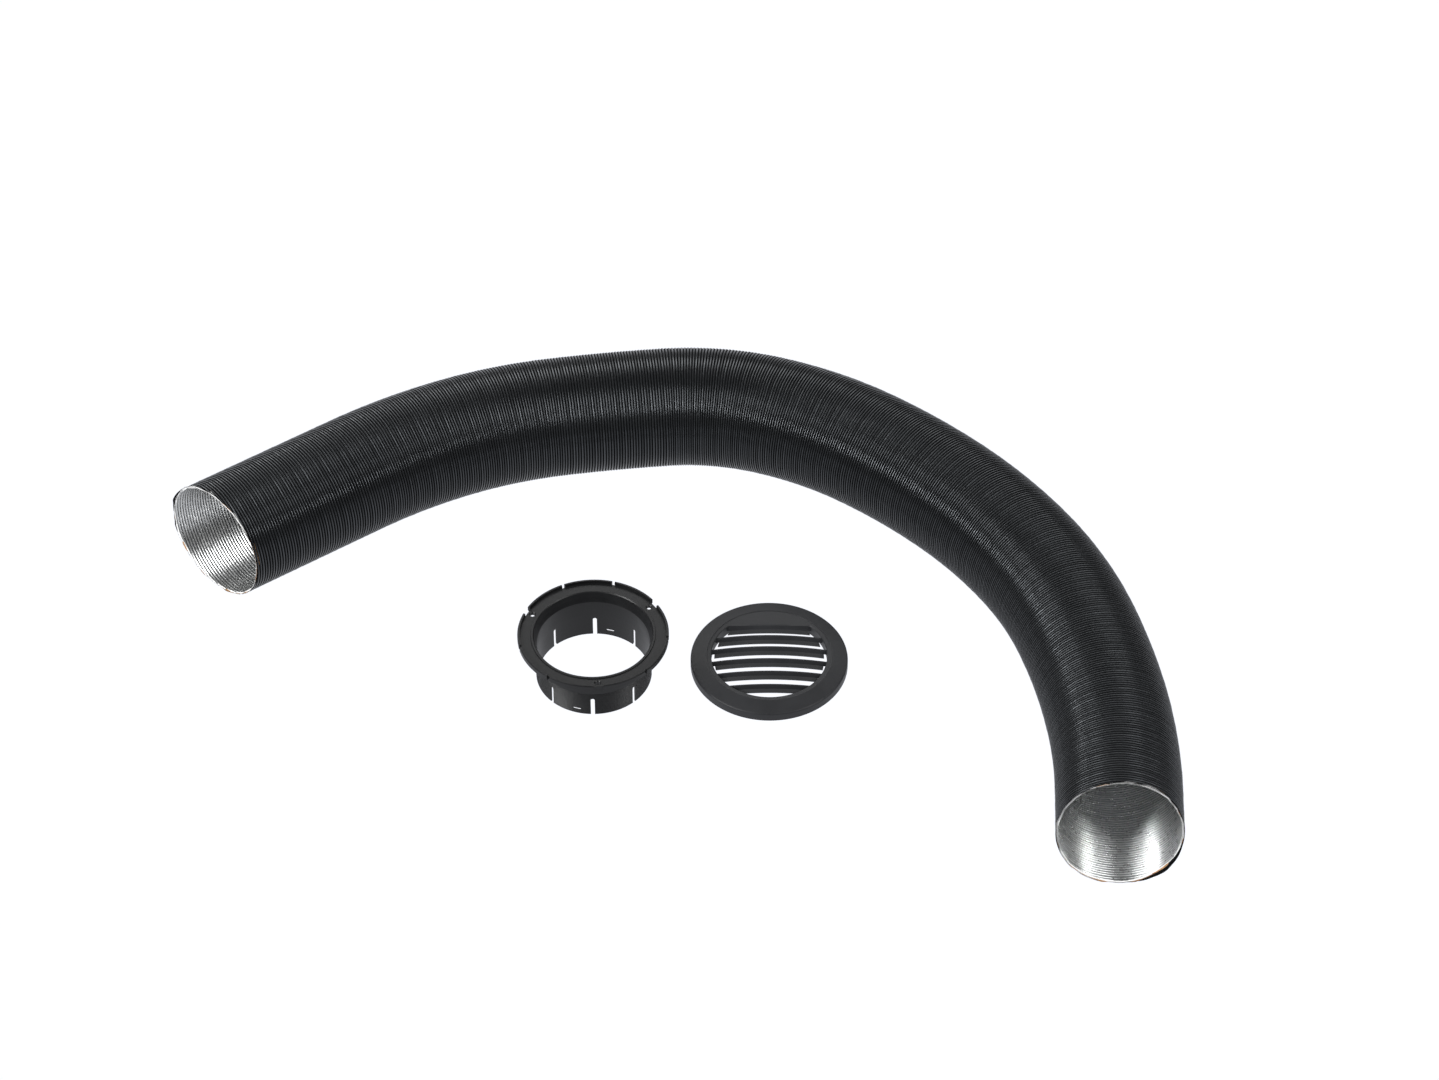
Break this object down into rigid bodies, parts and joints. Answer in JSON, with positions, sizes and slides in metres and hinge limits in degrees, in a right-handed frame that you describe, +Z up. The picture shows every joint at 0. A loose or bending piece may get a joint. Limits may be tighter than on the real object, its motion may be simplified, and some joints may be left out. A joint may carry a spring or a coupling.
{
  "type": "flexible air duct",
  "caption": "Flexible black warm-air duct with foil liner, laid in a curve, with a screw-on outlet collar and a turning louvre grille.",
  "frame": {"origin": "on the floor, under the middle of the laid-out kit's bounding box", "axes": "+X along the longest side, with the right mouth on the +X side; +Z up; both mouths point towards -Y"},
  "size_m": [0.739, 0.4996, 0.092],
  "materials": {
    "jacket": "semi-gloss black film over fine ribs",
    "paper_core": "kraft paper",
    "foil_liner": "bright ribbed foil",
    "collar": "moulded, matt",
    "grille": "moulded, fine satin"
  },
  "bodies": {
    "span_01": {"jacket_01": "jacket", "paper_core_01": "paper_core", "foil_liner_01": "foil_liner"},
    "span_02": {"jacket_02": "jacket", "paper_core_02": "paper_core", "foil_liner_02": "foil_liner", "bend_ring_01": "jacket"},
    "span_03": {"jacket_03": "jacket", "paper_core_03": "paper_core", "foil_liner_03": "foil_liner", "bend_ring_02": "jacket"},
    "span_04": {"jacket_04": "jacket", "paper_core_04": "paper_core", "foil_liner_04": "foil_liner", "bend_ring_03": "jacket"},
    "span_05": {"jacket_05": "jacket", "paper_core_05": "paper_core", "foil_liner_05": "foil_liner", "bend_ring_04": "jacket"},
    "span_06": {"jacket_06": "jacket", "paper_core_06": "paper_core", "foil_liner_06": "foil_liner", "bend_ring_05": "jacket", "bend_ring_06": "jacket"},
    "span_07": {"jacket_07": "jacket", "paper_core_07": "paper_core", "foil_liner_07": "foil_liner", "bend_ring_07": "jacket"},
    "span_08": {"jacket_08": "jacket", "paper_core_08": "paper_core", "foil_liner_08": "foil_liner", "bend_ring_08": "jacket"},
    "span_09": {"jacket_09": "jacket", "paper_core_09": "paper_core", "foil_liner_09": "foil_liner", "bend_ring_09": "jacket"},
    "span_10": {"jacket_10": "jacket", "paper_core_10": "paper_core", "foil_liner_10": "foil_liner", "bend_ring_10": "jacket"},
    "span_11": {"jacket_11": "jacket", "paper_core_11": "paper_core", "foil_liner_11": "foil_liner", "bend_ring_11": "jacket"},
    "span_12": {"jacket_12": "jacket", "paper_core_12": "paper_core", "foil_liner_12": "foil_liner"},
    "collar": {"collar": "collar"},
    "grille": {"grille": "grille"}
  },
  "joints": [
    {"name": "left_end_lift", "type": "hinge", "parent": "span_02", "child": "span_01", "pos_m": [-0.2746, 0.0986, 0.046], "axis": [-0.5793, 0.8151, 0], "range_deg": [0, 20], "deforming": ["bend_ring_01"]},
    {"name": "bend_02", "type": "hinge", "parent": "span_03", "child": "span_02", "pos_m": [-0.20638, 0.14709, 0.046], "axis": [0, 0, 1], "range_deg": [-11.5, 3], "deforming": ["bend_ring_02"]},
    {"name": "bend_03", "type": "hinge", "parent": "span_04", "child": "span_03", "pos_m": [-0.12985, 0.181, 0.046], "axis": [0, 0, 1], "range_deg": [-14, 3], "deforming": ["bend_ring_03"]},
    {"name": "bend_04", "type": "hinge", "parent": "span_05", "child": "span_04", "pos_m": [-0.0474, 0.19539, 0.046], "axis": [0, 0, 1], "range_deg": [-4.5, 3], "deforming": ["bend_ring_04"]},
    {"name": "bend_05", "type": "hinge", "parent": "span_06", "child": "span_05", "pos_m": [0.03593, 0.20327, 0.046], "axis": [0, 0, 1], "range_deg": [-23.7, 3], "deforming": ["bend_ring_05"]},
    {"name": "bend_06", "type": "hinge", "parent": "span_06", "child": "span_07", "pos_m": [0.1154, 0.17699, 0.046], "axis": [0, 0, -1], "range_deg": [-16.9, 3], "deforming": ["bend_ring_06"]},
    {"name": "bend_07", "type": "hinge", "parent": "span_07", "child": "span_08", "pos_m": [0.18379, 0.12874, 0.046], "axis": [0, 0, -1], "range_deg": [-10.1, 3], "deforming": ["bend_ring_07"]},
    {"name": "bend_08", "type": "hinge", "parent": "span_08", "child": "span_09", "pos_m": [0.24267, 0.06925, 0.046], "axis": [0, 0, -1], "range_deg": [-12.3, 3], "deforming": ["bend_ring_08"]},
    {"name": "bend_09", "type": "hinge", "parent": "span_09", "child": "span_10", "pos_m": [0.28752, -0.00142, 0.046], "axis": [0, 0, -1], "range_deg": [-15.6, 3], "deforming": ["bend_ring_09"]},
    {"name": "bend_10", "type": "hinge", "parent": "span_10", "child": "span_11", "pos_m": [0.31171, -0.08155, 0.046], "axis": [0, 0, -1], "range_deg": [-8.7, 3], "deforming": ["bend_ring_10"]},
    {"name": "bend_11", "type": "hinge", "parent": "span_11", "child": "span_12", "pos_m": [0.3235, -0.16442, 0.046], "axis": [0, 0, -1], "range_deg": [-10.3, 3], "deforming": ["bend_ring_11"]},
    {"name": "collar_lift", "type": "slide", "parent": "span_06", "child": "collar", "axis": [0, 0, 1], "range_m": [0, 0.08]},
    {"name": "grille_turn", "type": "hinge", "parent": "span_06", "child": "grille", "pos_m": [0.07417, -0.03418, 0], "axis": [0, 0, 1], "continuous": true}
  ]
}
